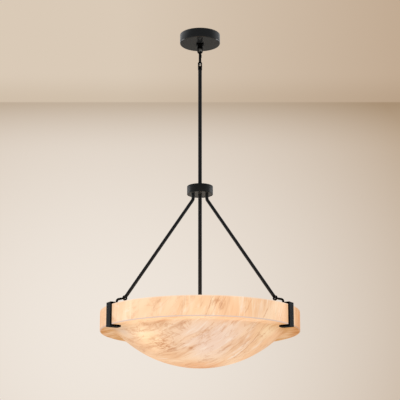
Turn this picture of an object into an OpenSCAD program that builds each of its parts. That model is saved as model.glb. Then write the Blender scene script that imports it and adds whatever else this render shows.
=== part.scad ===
// Dome chandelier: a stone bowl hung by three rods from a hub, a down rod, a chain link and a canopy

/* [Bowl] */
// Outer diameter of the bowl
bowl_d = 602; // [560:1:680]
// Height of the bowl's upright band
band_h = 60; // [50:1:80]
// Depth of the dome below the band's lower edge
bowl_depth = 105.3; // [90:0.1:130]
// Width of the flat ledge under the band
ledge_w = 38; // [36:1:50]
// Radius of the hollow curve where the dome runs into the ledge
flare_r = 30; // [15:1:50]
// Thickness of the stone
bowl_wall = 9; // [6:0.5:12]
// Rounding of the band's edges
edge_r = 2.5; // [1:0.5:4]

/* [Heights] */
// Drop from the ceiling to the bowl's rim
rim_drop = 899; // [800:1:1100]
// Drop from the ceiling to the top of the hub
hub_drop = 503; // [400:1:560]
// Drop from the ceiling to the hinge in the rod's eye
eye_drop = 100.5; // [97:0.5:120]

/* [Canopy] */
// Outer diameter of the canopy
canopy_d = 128; // [120:1:160]
// Height of the canopy
canopy_h = 30; // [28:1:36]
// Thickness of the canopy's sheet metal
canopy_wall = 1.2; // [0.8:0.1:2]
// Diameter of the nut under the canopy
ring_nut_d = 25; // [23:0.5:32]
// Height of the nut under the canopy
ring_nut_h = 5; // [4:0.5:6]

/* [Crossbar] */
// Distance between the middles of the two slots for the box screws
slot_spacing = 79.5; // [76:0.5:82]
// Width of each slot
slot_w = 5.2; // [4.5:0.1:6]
// Length of each slot from end to end
slot_length = 14.7; // [10:0.1:16]
// Width of the crossbar
bar_w = 22; // [20:1:26]
// Thickness of the crossbar's metal
bar_t = 2.5; // [1.5:0.5:3]

/* [Chain link] */
// Diameter of the link's wire
link_wire_d = 4.8; // [4:0.1:5]
// Turn of the hanging link about the vertical, in degrees
link_turn = 15; // [0:1:20]
// Diameter of the bar at the foot of the canopy loop
loop_bar_d = 7.4; // [6:0.1:7.4]
// Diameter of the canopy loop's threaded neck
loop_neck_d = 18; // [18:0.5:20]

/* [Rods] */
// Outer diameter of the down rod and of the centre stem
rod_d = 11.6; // [10:0.1:12.4]
// Diameter of the three arms
arm_d = 10; // [8:0.5:11]
// Distance from the axis to each arm where it leaves the hub
arm_start_r = 24.6; // [23.5:0.1:27]
// Drop below the hub at which the arms turn outwards
arm_corner_drop = 19; // [14:1:30]
// Radius of the bend in the arms
arm_bend_r = 12; // [8:1:15]

/* [Hub] */
// Diameter of the hub
hub_d = 80; // [76:1:100]
// Height of the hub
hub_h = 26; // [24:1:34]
// Thickness of the hub's shell
hub_wall = 2; // [1.5:0.5:3]

/* [Brackets] */
// Width of the flat bar
bracket_w = 28; // [22:1:36]
// Thickness of the flat bar
bracket_t = 4.5; // [3:0.5:6]
// Thickness of the rubber liner in each bracket
liner_t = 1; // [0.8:0.1:2]
// Length of the lower tab, measured from the bracket's outer face
lower_tab = 37; // [26:1:38]
// Diameter of the wire in the hook's ring
hook_wire_d = 5.2; // [4:0.1:5.8]
// Diameter of the hook's shank
hook_shank_d = 6.8; // [5:0.1:7.4]
// Distance from the bowl's outside to the foot of each hook
foot_inset = 21; // [20:1:24]
// Distance from an arm's eye outwards to the foot of its hook
hook_reach = 26; // [25:0.5:34]
// Height of an arm's eye above the bowl's rim
eye_rise = 22.3; // [22:0.1:30]

/* [Lamps] */
// Diameter of a bulb
bulb_d = 60; // [50:1:64]
// Length of a bulb with its cap
bulb_length = 108; // [100:1:120]
// Height of the bulbs' axis above the band's lower edge
lamp_rise = 15; // [5:1:20]

/* [Hidden] */
$fn = 96;

// Directions of the arms and, halfway between them, of the lamps
right_arm = -30;
back_arm = 90;
left_arm = 210;
ARM_TURNS = [right_arm, back_arm, left_arm];
right_lamp = 30;
left_lamp = 150;
front_lamp = 270;

// Gaps: between pieces that move on each other, and between pieces that are fastened together
play = 0.3;
snug = 0.05;

black = [0.09, 0.09, 0.1];
zinc = [0.72, 0.73, 0.75];
stone = [0.96, 0.82, 0.66];
pale = [0.93, 0.92, 0.88];

// Heights in the frame, with the ceiling at zero
bowl_r = bowl_d / 2;
rim_z = -rim_drop;
ledge_z = rim_z - band_h;
hub_z = -hub_drop;
hub_floor_z = hub_z - hub_h;

// Curves of the bowl: the dome's arc and the flare's arc meet smoothly
flare_x = bowl_r - ledge_w;
dome_r = (flare_x * flare_x + bowl_depth * bowl_depth) / (2 * bowl_depth) - flare_r;
dome_z = dome_r - bowl_depth;
meet_angle = atan2(-flare_r - dome_z, flare_x);

// Threaded pieces at the top
thread_d = 10;
thread_bore = 6;
nut_af = 14;
nut_h = 4;
slot_end = slot_spacing / 2 + slot_length / 2;
slot_rim = 5;
bar_length = 2 * (slot_end + slot_rim);
bar_flange = 6;
nipple_short = 2;
nipple_end = -(canopy_h - nipple_short);
neck_inside = 15;
neck_top = -(canopy_h - neck_inside);
ground_x = 19;
ground_r = 2;

// Canopy loop and link
wire_r = link_wire_d / 2;
bar_r = loop_bar_d / 2;
crown_r = (bar_r + play + wire_r) / cos(link_turn);
side_room = 2;
swing_room = 5.5;
loop_hole_w = link_wire_d + 2 * side_room;
loop_hole_h = link_wire_d + swing_room;
neck_below = 11;
neck_end = -(canopy_h + neck_below);
wireway_r = 2.2;
loop_shoulder = 4;
loop_bar_z = neck_end - loop_shoulder - loop_hole_h - bar_r;
bore_r = loop_neck_d / 2 + play;
sleeve_d = 7.6;
sleeve_h = 11;
sleeve_z = loop_bar_z - bar_r - sleeve_h;
sleeve_gap = 5;

// Eye on top of the down rod: its lips are rounded, so the slanting link clears them
eye_z = -eye_drop;
eye_room = 1.2;
eye_hole_r = wire_r + eye_room;
crown_hang = 0.5;
crown_low_z = eye_z + eye_hole_r - crown_hang + crown_r - wire_r;
eye_t = 5.6;
lip_r = eye_t / 2;
bore_flat = 0.2;
collar_step = 0.9;
eye_w = rod_d + 2 * collar_step;
eye_over = 10;
eye_under = 7.5;
eye_top_z = eye_z + eye_over;
collar_z = eye_z - eye_under;
collar_h = 10;
groove_h = 1;
rod_seat = 3;
rod_top_z = collar_z - rod_seat;
rod_wall = 1.3;
rod_bore_r = rod_d / 2 - rod_wall;

// Hub and arms
core_r = 12;
plate_t = 3;
plate_inset = 1;
plate_z = hub_floor_z + plate_inset;
core_top = hub_z - hub_wall;
core_low = plate_z + plate_t;
rod_gap = 2;
core_grip = (core_top - core_low - rod_gap) / 2;
arm_r = arm_d / 2;
nut_wall = 2;
arm_nut_af = arm_d + 2 * nut_wall;
arm_nut_h = 5;
thread_out = 2;
arm_top_z = plate_z + plate_t + arm_nut_h + thread_out;

// Eye at the end of each arm, and the hook that runs from it to the bracket
foot_r = bowl_r - foot_inset;
arm_eye_r = foot_r - hook_reach;
arm_eye_z = rim_z + eye_rise;
eye_wire_r = 2.4;
hook_r = hook_wire_d / 2;
shank_r = hook_shank_d / 2;
ring_r = eye_wire_r + hook_r + 2 * play;
hook_dip = 15;
hook_bend_r = 8;
ring_shift = ring_r + play;
arm_corner_z = hub_floor_z - arm_corner_drop;
lean = atan2(arm_eye_r - arm_start_r, arm_corner_z - arm_eye_z);
knee_z = arm_corner_z + arm_bend_r * tan(lean / 2);
knee_end = [arm_start_r + arm_bend_r * (1 - cos(lean)), knee_z - arm_bend_r * sin(lean)];
arm_run = norm([arm_eye_r, arm_eye_z] - knee_end);
eye_shank_r = 3.4;
arm_end_gap = ring_r + eye_wire_r + 0.2;

// Brackets
face_r = bowl_r + liner_t + bracket_t;
bracket_top = rim_z + liner_t + bracket_t;
bracket_low = ledge_z - liner_t - bracket_t;
tab_past_foot = 8;
upper_tab = face_r - foot_r + tab_past_foot;
tab_corner_r = 7;
liner_inset = 2;
liner_w = bracket_w - 2 * liner_inset;
hook_nut_af = hook_shank_d + 2 * nut_wall;
hook_nut_h = 3;
foot_end_z = bracket_top - bracket_t - hook_nut_h - thread_out;

// Lamps
lamp_z = ledge_z + lamp_rise;
lamp_hub_r = 28;
lamp_hub_h = 40;
lamp_hub_top = lamp_z + lamp_hub_h / 2;
lamp_hub_low = lamp_z - lamp_hub_h / 2;
holder_r = 18;
holder_length = 36;
cap_r = 13.2;
cap_length = 26;
socket_r = cap_r + play;
socket_room = 1.5;
socket_depth = cap_length + socket_room;
bulb_start = lamp_hub_r + holder_length - cap_length;
glass_t = 1;
bulb_neck_r = 14;
stem_nut_h = 5;
stem_nut_af = rod_d + 5;
stem_end = lamp_hub_low - stem_nut_h - 1;

// Points along an arc about a centre
function arc(centre, radius, from, to, steps) =
    [for (i = [0:steps]) centre + radius * [cos(from + (to - from) * i / steps), sin(from + (to - from) * i / steps)]];

module tube(outer, inner, low, high) {
    translate([0, 0, low]) difference() {
        cylinder(r = outer, h = high - low);
        translate([0, 0, -1]) cylinder(r = inner, h = high - low + 2);
    }
}

module hex_nut(across, bore, low, height) {
    translate([0, 0, low]) difference() {
        cylinder(r = across / 2 / cos(30), h = height, $fn = 6);
        translate([0, 0, -1]) cylinder(r = bore, h = height + 2);
    }
}

// A round ring about the Z axis, whole or part of a turn
module ring(radius, wire, turn = 360) {
    rotate_extrude(angle = turn) translate([radius, 0]) circle(r = wire, $fn = 48);
}

// A round rod is drawn as a chain: each stretch starts along +X, and what follows starts at its end
module straight(radius, length) {
    rotate([0, 90, 0]) cylinder(r = radius, h = length);
    translate([length, 0, 0]) children();
}

// A bend in the chain, turning towards +Z, with a ball a hair thicker than the rod where it ends
module bent(radius, bend_r, angle) {
    translate([0, 0, bend_r]) {
        rotate([90, 0, 0]) turned_to(-90) ring(bend_r, radius, angle);
        rotate([0, -angle, 0]) translate([0, 0, -bend_r]) {
            sphere(r = radius + snug);
            children();
        }
    }
}

// A shape drawn in a side view, made as thick as given across the Y axis
module side_plate(thickness) {
    rotate([90, 0, 0]) translate([0, 0, -thickness / 2]) linear_extrude(height = thickness) children();
}

module turned_to(angle) {
    rotate([0, 0, angle]) children();
}

module slot_hole(length, width) {
    for (x = [-1, 1]) translate([x * (length - width) / 2, 0]) circle(r = width / 2);
    square([length - width, width], center = true);
}

module crossbar() color(zinc) difference() {
    union() {
        translate([-bar_length / 2, -bar_w / 2, -bar_t]) cube([bar_length, bar_w, bar_t]);
        for (side = [-1, 1]) translate([-bar_length / 2, side * (bar_w - bar_t) / 2 - bar_t / 2, -bar_flange])
            cube([bar_length, bar_t, bar_flange]);
        translate([0, 0, -bar_flange]) cylinder(r = thread_d / 2 + 2, h = bar_flange);
    }
    for (x = [-1, 1]) translate([x * slot_spacing / 2, 0, -bar_t - 1])
        linear_extrude(height = bar_t + 2) slot_hole(slot_length, slot_w);
    translate([0, 0, -bar_flange - 1]) cylinder(r = thread_d / 2 + snug, h = bar_flange + 2);
    translate([ground_x, 0, -bar_t - 1]) cylinder(r = ground_r + snug, h = bar_t + 2);
}

// Screw for the earth wire, between the nipple and one slot
module ground_screw() color("seagreen") difference() {
    head_r = 4;
    head_h = 3;
    union() {
        translate([ground_x, 0, -bar_t - 1]) cylinder(r = ground_r, h = bar_t + 0.8);
        translate([ground_x, 0, -bar_t - head_h]) cylinder(r = head_r, h = head_h);
    }
    translate([ground_x - head_r - 1, -0.5, -bar_t - head_h - 1]) cube([2 * head_r + 2, 1, 2]);
}

module nipple() color(zinc) tube(thread_d / 2, thread_bore / 2, nipple_end, -0.3);

module lock_nut() color(zinc) hex_nut(nut_af, thread_d / 2 + snug, -bar_flange - nut_h, nut_h);

// Neck, then a flat eye whose lower side is a round bar for the link to swing on
module canopy_loop() color(black) {
    neck_r = loop_neck_d / 2;
    eye_r = neck_r - 0.2;
    eye_low = loop_bar_z - bar_r - play;
    difference() {
        translate([0, 0, neck_end]) cylinder(r = neck_r, h = neck_top - neck_end);
        translate([0, 0, nipple_end]) cylinder(r = thread_d / 2 + snug, h = neck_top - nipple_end + 1);
        translate([0, 0, neck_end - 1]) cylinder(r = wireway_r, h = nipple_end - neck_end + 2);
    }
    intersection() {
        translate([0, 0, eye_low - 1]) cylinder(r = neck_r - 0.1, h = neck_end - eye_low + 3);
        union() {
            difference() {
                side_plate(loop_bar_d - 0.3) intersection() {
                    translate([-eye_r, loop_bar_z]) square([2 * eye_r, neck_end - loop_bar_z + 1]);
                    union() {
                        translate([0, eye_low + eye_r]) circle(r = eye_r);
                        translate([-eye_r, eye_low + eye_r]) square([2 * eye_r, neck_end - eye_low - eye_r + 1]);
                    }
                }
                side_plate(loop_bar_d + 2) translate([-loop_hole_w / 2, loop_bar_z - 1])
                    square([loop_hole_w, bar_r + loop_hole_h + 1]);
                translate([0, 0, loop_bar_z]) cylinder(r = wireway_r, h = neck_end - loop_bar_z + 2);
            }
            intersection() {
                translate([-neck_r, 0, loop_bar_z]) rotate([0, 90, 0]) cylinder(r = bar_r, h = loop_neck_d);
                side_plate(loop_bar_d + 2) translate([0, eye_low + eye_r]) circle(r = neck_r);
            }
        }
    }
}

module canopy() color(black) {
    canopy_r = canopy_d / 2;
    edge = 3;
    rotate_extrude() polygon(concat(
        [[bore_r + 0.2, -canopy_h]],
        arc([canopy_r - edge, -canopy_h + edge], edge, -90, 0, 6),
        [[canopy_r, 0], [canopy_r - canopy_wall, 0]],
        arc([canopy_r - edge, -canopy_h + edge], edge - canopy_wall, 0, -90, 6),
        [[bore_r + 0.2, -canopy_h + canopy_wall]]));
}

// Round nut with finger grooves, under the canopy
module ring_nut() color(black) difference() {
    nut_r = ring_nut_d / 2;
    round_r = 1.5;
    grooves = 12;
    translate([0, 0, -canopy_h - ring_nut_h]) rotate_extrude() polygon(concat(
        [[bore_r, 0]],
        arc([nut_r - round_r, round_r], round_r, -90, 0, 4),
        [[nut_r, ring_nut_h], [bore_r, ring_nut_h]]));
    for (i = [0:grooves - 1]) turned_to(i * 360 / grooves) translate([nut_r + 0.4, 0, -canopy_h - ring_nut_h - 1])
        cylinder(r = 1.2, h = ring_nut_h, $fn = 24);
}

module link_leg(y, low, high) {
    translate([0, y, low]) cylinder(r = wire_r, h = high - low);
}

// The link lies in the YZ plane, and its front leg is open inside the sleeve
module link() color(black) turned_to(link_turn) {
    translate([0, 0, loop_bar_z]) rotate([90, 0, 90]) ring(crown_r, wire_r, 180);
    translate([0, 0, crown_low_z]) rotate([90, 180, 90]) ring(crown_r, wire_r, 180);
    link_leg(crown_r, crown_low_z, loop_bar_z);
    link_leg(-crown_r, crown_low_z, sleeve_z - sleeve_gap / 2);
    link_leg(-crown_r, sleeve_z + sleeve_gap / 2, loop_bar_z);
}

module link_sleeve() color(black) turned_to(link_turn) translate([0, -crown_r, 0])
    hex_nut(sleeve_d * cos(30), wire_r + snug, sleeve_z - sleeve_h / 2, sleeve_h);

// Flat eye with a rounded top and a bell-mouthed hole, on a collar that the rod screws into
module rod_eye() color(black) difference() {
    union() {
        side_plate(eye_t) union() {
            translate([0, eye_top_z - eye_w / 2]) circle(r = eye_w / 2);
            translate([-eye_w / 2, collar_z]) square([eye_w, eye_top_z - eye_w / 2 - collar_z]);
        }
        translate([0, 0, collar_z - groove_h - 0.2]) cylinder(r = rod_d / 2, h = groove_h + 1.4);
        translate([0, 0, collar_z - collar_h]) cylinder(r = eye_w / 2, h = collar_h - groove_h);
    }
    translate([0, 0, eye_z]) rotate([90, 0, 0]) rotate_extrude() polygon(concat(
        [[0, -lip_r - bore_flat], [eye_hole_r + lip_r, -lip_r - bore_flat]],
        arc([eye_hole_r + lip_r, -bore_flat], lip_r, 270, 180, 8),
        arc([eye_hole_r + lip_r, bore_flat], lip_r, 180, 90, 8),
        [[0, lip_r + bore_flat]]));
    translate([0, 0, collar_z - collar_h - 1]) cylinder(r = rod_d / 2 + snug, h = rod_top_z - collar_z + collar_h + 1);
    translate([0, 0, collar_z - collar_h]) cylinder(r = rod_bore_r, h = collar_h + 2);
}

module down_rod() color(black) tube(rod_d / 2, rod_bore_r, core_top - core_grip, rod_top_z);

module hub_cup() color(black) difference() {
    edge = 1;
    translate([0, 0, hub_floor_z]) rotate_extrude() polygon(concat(
        [[0, 0], [hub_d / 2, 0]],
        arc([hub_d / 2 - edge, hub_h - edge], edge, 0, 90, 4),
        [[0, hub_h]]));
    translate([0, 0, hub_floor_z - 1]) cylinder(r = hub_d / 2 - hub_wall, h = hub_h - hub_wall + 1);
    translate([0, 0, hub_z - hub_wall - 1]) cylinder(r = rod_d / 2 + snug, h = hub_wall + 2);
}

// Threaded core that joins the down rod, the shell, the plate and the stem
module hub_core() color(zinc) tube(core_r, rod_d / 2 + snug, core_low, core_top);

module hub_plate() color(black) difference() {
    translate([0, 0, plate_z]) cylinder(r = hub_d / 2 - hub_wall - snug, h = plate_t);
    translate([0, 0, plate_z - 1]) cylinder(r = rod_d / 2 + snug, h = plate_t + 2);
    for (turn = ARM_TURNS) turned_to(turn) translate([arm_start_r, 0, plate_z - 1])
        cylinder(r = arm_r + snug, h = plate_t + 2);
}

module arm_nuts() color(zinc) for (turn = ARM_TURNS) turned_to(turn) translate([arm_start_r, 0, 0])
    hex_nut(arm_nut_af, arm_r + snug, plate_z + plate_t, arm_nut_h);

// Arm: straight down out of the hub, one bend, then straight to the eye
module arm(turn) color(black) turned_to(turn) difference() {
    translate([arm_start_r, 0, arm_top_z]) rotate([0, 90, 0])
        straight(arm_r, arm_top_z - knee_z) bent(arm_r, arm_bend_r, lean) straight(arm_r, arm_run - arm_end_gap);
    translate([arm_eye_r, 0, arm_eye_z]) rotate([0, -lean, 0]) cylinder(r = eye_shank_r + snug, h = 20);
}

// Ring at the arm's end, on a shank that screws into the arm
module arm_eye(turn) color(black) turned_to(turn) translate([arm_eye_r, 0, arm_eye_z]) {
    rotate([90, 0, 0]) ring(ring_r, eye_wire_r);
    rotate([0, -lean, 0]) translate([0, 0, ring_r]) cylinder(r = eye_shank_r, h = 19 - ring_r);
}

// Hook: a ring through the arm's eye, a short run outwards and a bend down into the bracket
module hook(turn) color(black) turned_to(turn) translate([arm_eye_r, 0, arm_eye_z]) rotate([0, hook_dip, 0]) {
    run_start = ring_shift + ring_r;
    run_end = (hook_reach - hook_bend_r + hook_bend_r * sin(hook_dip)) / cos(hook_dip);
    foot_drop = arm_eye_z - foot_end_z - run_end * sin(hook_dip) - hook_bend_r * cos(hook_dip);
    translate([ring_shift, 0, 0]) ring(ring_r, hook_r);
    translate([run_start, 0, 0]) straight(shank_r, run_end - run_start)
        rotate([180, 0, 0]) bent(shank_r, hook_bend_r, 90 - hook_dip) straight(shank_r, foot_drop);
}

module hook_nuts() color(black) for (turn = ARM_TURNS) turned_to(turn) translate([foot_r, 0, 0])
    hex_nut(hook_nut_af, shank_r + snug, bracket_top - bracket_t - hook_nut_h, hook_nut_h);

// Plan of a tab: square at the bowl's outside and rounded at its inner end
module tab_plan(length) {
    translate([face_r - length + tab_corner_r, -bracket_w / 2]) square([length - tab_corner_r, bracket_w]);
    translate([face_r - length, tab_corner_r - bracket_w / 2]) square([length, bracket_w - 2 * tab_corner_r]);
    for (side = [-1, 1]) translate([face_r - length + tab_corner_r, side * (bracket_w / 2 - tab_corner_r)])
        circle(r = tab_corner_r);
}

module bracket(turn) color(black) turned_to(turn) difference() {
    union() {
        translate([face_r - bracket_t, -bracket_w / 2, bracket_low])
            cube([bracket_t, bracket_w, bracket_top - bracket_low]);
        translate([0, 0, bracket_top - bracket_t]) linear_extrude(height = bracket_t) tab_plan(upper_tab);
        translate([0, 0, bracket_low]) linear_extrude(height = bracket_t) tab_plan(lower_tab);
    }
    translate([foot_r, 0, bracket_top - bracket_t - 1]) cylinder(r = shank_r + snug, h = bracket_t + 2);
}

// Rubber between each bracket and the stone: over the rim, down the band and under the ledge
module liner(turn) turned_to(turn) translate([0, -liner_w / 2, 0]) {
    back = face_r - bracket_t;
    inner_rim = bowl_r - bowl_wall;
    inner_ledge = face_r - lower_tab + tab_corner_r;
    translate([bowl_r + snug / 2, 0, ledge_z - liner_t]) cube([liner_t - snug / 2, liner_w, band_h + 2 * liner_t]);
    translate([inner_rim, 0, rim_z]) cube([back - inner_rim, liner_w, liner_t]);
    translate([inner_ledge, 0, ledge_z - liner_t]) cube([back - inner_ledge, liner_w, liner_t]);
}

module bracket_liners() color([0.06, 0.06, 0.06]) for (turn = ARM_TURNS) liner(turn);

module stem() color(black) tube(rod_d / 2, rod_bore_r, stem_end, core_low + core_grip);

module stem_nut() color(zinc) hex_nut(stem_nut_af, rod_d / 2 + snug, lamp_hub_low - stem_nut_h, stem_nut_h);

// Six-sided block that the stem runs through and the lamp holders sit on
module lamp_hub() color(zinc) difference() {
    translate([0, 0, lamp_hub_low]) cylinder(r = lamp_hub_r / cos(30), h = lamp_hub_top - lamp_hub_low, $fn = 6);
    translate([0, 0, lamp_hub_low - 1]) cylinder(r = rod_d / 2 + snug, h = lamp_hub_top - lamp_hub_low + 2);
}

// Stands a lamp piece on the lamp hub's side, with its own axis pointing outwards
module on_lamp_axis(turn, from) {
    turned_to(turn) translate([from, 0, lamp_z]) rotate([0, 90, 0]) children();
}

module holder(turn) color(pale) on_lamp_axis(turn, lamp_hub_r) difference() {
    union() {
        cylinder(r = holder_r, h = holder_length);
        translate([0, 0, holder_length - 6]) cylinder(r = holder_r + 1.5, h = 3);
    }
    translate([0, 0, holder_length - socket_depth]) cylinder(r = socket_r, h = socket_depth + 1);
}

// Screw cap of a bulb, with the insulator and the contact at its tip
module bulb_cap(turn) color(zinc) on_lamp_axis(turn, bulb_start) {
    thread_pitch = 3.6;
    thread_depth = 0.8;
    turns = 5;
    rotate_extrude() polygon(concat(
        [[0, 0], [5, 0], [5, 1.2], [cap_r - 3, 4]],
        [for (i = [0:turns - 1]) for (p = [[cap_r - thread_depth, 0.6], [cap_r, 1.8]])
            [p[0], 4 + i * thread_pitch + p[1]]],
        [[cap_r - thread_depth, cap_length - 2], [cap_r - thread_depth, cap_length], [0, cap_length]]));
}

// Glass of a bulb: a round bulb on a slim neck, open where the cap closes it
module bulb(turn) color([1, 0.93, 0.8]) on_lamp_axis(turn, bulb_start) {
    ball_r = bulb_d / 2;
    ball_x = bulb_length - ball_r;
    neck_x = cap_length + 2;
    slope = asin((ball_r - bulb_neck_r) / norm([ball_x - neck_x, ball_r - bulb_neck_r])) + 12;
    rotate_extrude() polygon(concat(
        [[bulb_neck_r - 1.5, cap_length], [bulb_neck_r, neck_x]],
        arc([0, ball_x], ball_r, -slope, 90, 24),
        arc([0, ball_x], ball_r - glass_t, 90, -slope, 24),
        [[bulb_neck_r - glass_t, neck_x], [bulb_neck_r - 1.5 - glass_t, cap_length]]));
}

// Stone bowl: the dome, the flare, the flat ledge and the band, all one thickness
module bowl() color(stone) {
    flare_centre = [flare_x, -flare_r];
    dome_centre = [0, dome_z];
    translate([0, 0, ledge_z]) rotate_extrude($fn = 180) polygon(concat(
        arc(dome_centre, dome_r, -90, meet_angle, 24),
        arc(flare_centre, flare_r, meet_angle + 180, 90, 8),
        arc([bowl_r - edge_r, edge_r], edge_r, -90, 0, 5),
        arc([bowl_r - edge_r, band_h - edge_r], edge_r, 0, 90, 5),
        [[bowl_r - bowl_wall, band_h], [bowl_r - bowl_wall, bowl_wall]],
        arc(flare_centre, flare_r + bowl_wall, 90, meet_angle + 180, 8),
        arc(dome_centre, dome_r - bowl_wall, meet_angle, -90, 24)));
}

crossbar();
ground_screw();
nipple();
lock_nut();
canopy_loop();
canopy();
ring_nut();
link();
link_sleeve();
rod_eye();
down_rod();
hub_cup();
hub_core();
hub_plate();
arm_nuts();
arm(right_arm);  // arm_right
arm(back_arm);  // arm_back
arm(left_arm);  // arm_left
arm_eye(right_arm);  // arm_eye_right
arm_eye(back_arm);  // arm_eye_back
arm_eye(left_arm);  // arm_eye_left
hook(right_arm);  // hook_right
hook(back_arm);  // hook_back
hook(left_arm);  // hook_left
hook_nuts();
bracket(right_arm);  // bracket_right
bracket(back_arm);  // bracket_back
bracket(left_arm);  // bracket_left
bracket_liners();
stem();
stem_nut();
lamp_hub();
holder(right_lamp);  // holder_right
holder(left_lamp);  // holder_left
holder(front_lamp);  // holder_front
bulb_cap(right_lamp);  // bulb_cap_right
bulb_cap(left_lamp);  // bulb_cap_left
bulb_cap(front_lamp);  // bulb_cap_front
bulb(right_lamp);  // bulb_right
bulb(left_lamp);  // bulb_left
bulb(front_lamp);  // bulb_front
bowl();
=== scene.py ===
# %% [markdown]
# # A dome chandelier, dressed from its CAD model
# The lamp is a stone bowl that hangs in three black brackets. Three slanted arms carry the brackets, a
# hub carries the arms, and a down rod, one chain link and a round canopy join the hub to the ceiling. The
# CAD model already has every solid at its real size, in metres, with the ceiling at zero and the lamp
# hanging along -Z. It is loaded first, because everything made here has to sit on it and move with it.

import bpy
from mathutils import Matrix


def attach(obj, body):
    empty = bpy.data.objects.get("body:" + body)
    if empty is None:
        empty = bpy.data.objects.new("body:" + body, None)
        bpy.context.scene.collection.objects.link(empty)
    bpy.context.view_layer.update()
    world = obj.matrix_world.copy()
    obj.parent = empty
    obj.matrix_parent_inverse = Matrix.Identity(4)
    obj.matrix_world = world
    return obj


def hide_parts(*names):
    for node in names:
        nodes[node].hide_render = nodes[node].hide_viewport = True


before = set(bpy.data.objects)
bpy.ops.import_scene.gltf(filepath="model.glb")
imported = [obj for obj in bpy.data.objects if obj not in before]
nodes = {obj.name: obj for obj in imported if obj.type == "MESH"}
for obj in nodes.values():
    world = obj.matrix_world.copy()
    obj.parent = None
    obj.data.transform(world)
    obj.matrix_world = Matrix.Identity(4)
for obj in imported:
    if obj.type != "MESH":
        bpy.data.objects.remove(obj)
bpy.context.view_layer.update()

# %% [markdown]
# ## Tools, arms and lamps
# Three arms and, between them, three lamps stand round the axis. Both are named after the side they point
# to, and each has its turn in degrees from the right, so that a loop can visit all three.

# %% Tools, arms and lamps
import math
import bmesh
import bpy
from mathutils import Vector

ARMS = {"right": -30, "back": 90, "left": 210}
LAMPS = {"right": 30, "left": 150, "front": 270}
print("arms at", ARMS, "lamps at", LAMPS)

# %% [markdown]
# ## The camera
# The photograph was taken from well below the bowl, so the dome shows under the band and the canopy shows
# its underside. A long lens keeps the rods nearly parallel. The camera stands 3.7 m in front of the lamp,
# 0.57 m below the band's lower edge, and looks up by about 15 degrees, so the lamp fills the same frame.

# %% Camera
BAND_LOW = -0.959
CAMERA_BACK = 3.702
CAMERA_DROP = 0.571
LOOK_UP = 14.88
camera_data = bpy.data.cameras.new("camera")
camera_data.lens = 111.4
camera_data.sensor_width = 36.0
camera = bpy.data.objects.new("camera", camera_data)
camera.location = (0, -CAMERA_BACK, BAND_LOW - CAMERA_DROP)
camera.rotation_euler = (math.radians(90 + LOOK_UP), 0, 0)
bpy.context.scene.collection.objects.link(camera)
bpy.context.scene.camera = camera
print("camera at", tuple(round(c, 3) for c in camera.location))

# %% [markdown]
# ## Wiring a finish
# A finish is a small graph of nodes. Patterns are read in object coordinates, so they are fixed to the
# piece in metres, keep their real scale and travel with the piece. Short calls keep each graph readable:
# one makes noise, one fades a value into a mask from 0 to 1, and one mixes two colours by a mask. A
# colour is written as it reads on screen and turned into linear light, which is what shaders count in.

# %% Colours and graphs
def srgb(red, green, blue):
    """A colour as it reads on screen, from 0 to 255, as linear light."""
    def linear(c):
        c /= 255
        return c / 12.92 if c <= 0.04045 else ((c + 0.055) / 1.055) ** 2.4
    return (linear(red), linear(green), linear(blue), 1.0)


class Graph:
    """A node tree with short calls that add nodes; patterns are read at its place."""

    def __init__(self, tree, place):
        self.tree = tree
        self.place = self.add("ShaderNodeTexCoord").outputs[place]

    def add(self, kind, **settings):
        node = self.tree.nodes.new(kind)
        for name, value in settings.items():
            setattr(node, name, value)
        return node

    def link(self, source, target):
        """Joins a node's output to a socket, or sets a plain value on it."""
        if hasattr(source, "is_linked"):
            self.tree.links.new(source, target)
        else:
            target.default_value = source

    def math(self, operation, first, second=0.0):
        node = self.add("ShaderNodeMath", operation=operation)
        self.link(first, node.inputs[0])
        self.link(second, node.inputs[1])
        return node.outputs[0]

    def plus(self, first, second):
        return self.math("ADD", first, second)

    def minus(self, first, second):
        return self.math("SUBTRACT", first, second)

    def times(self, first, *others):
        for other in others:
            first = self.math("MULTIPLY", first, other)
        return first

    def along(self, direction):
        """How far a point lies along a direction, in metres."""
        node = self.add("ShaderNodeVectorMath", operation="DOT_PRODUCT")
        self.link(self.place, node.inputs[0])
        node.inputs[1].default_value = direction
        return node.outputs["Value"]

    def noise(self, scale, detail, roughness=0.5, distortion=0.0, place=None):
        node = self.add("ShaderNodeTexNoise")
        self.link(place or self.place, node.inputs["Vector"])
        settings = {"Scale": scale, "Detail": detail, "Roughness": roughness, "Distortion": distortion}
        for socket, value in settings.items():
            node.inputs[socket].default_value = value
        return node.outputs["Fac"]

    def fade(self, value, low, high, at_low=0.0, at_high=1.0, soft=True):
        """Runs from at_low to at_high while the value runs from low to high, and stays there beyond."""
        node = self.add("ShaderNodeMapRange", interpolation_type="SMOOTHSTEP" if soft else "LINEAR")
        self.link(value, node.inputs["Value"])
        settings = {"From Min": low, "From Max": high, "To Min": at_low, "To Max": at_high}
        for socket, number in settings.items():
            node.inputs[socket].default_value = number
        return node.outputs["Result"]

    def near(self, centre, radius, soft):
        """1 about a point of the piece, fading to 0 at a radius; soft is the share of it that fades."""
        node = self.add("ShaderNodeVectorMath", operation="DISTANCE")
        self.link(self.place, node.inputs[0])
        node.inputs[1].default_value = centre
        return self.fade(node.outputs["Value"], radius * (1 - soft), radius, 1.0, 0.0)

    def mix(self, mask, first, second, blend="MIX"):
        """The first colour, with the second laid over it where the mask is 1."""
        node = self.add("ShaderNodeMix", data_type="RGBA", blend_type=blend)
        self.link(mask, node.inputs[0])
        self.link(first, node.inputs[6])
        self.link(second, node.inputs[7])
        return node.outputs[2]


print("a mid grey is", tuple(round(c, 3) for c in srgb(128, 128, 128)), "as linear light")
print("a graph can:", [name for name in vars(Graph) if not name.startswith("_")])

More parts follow.
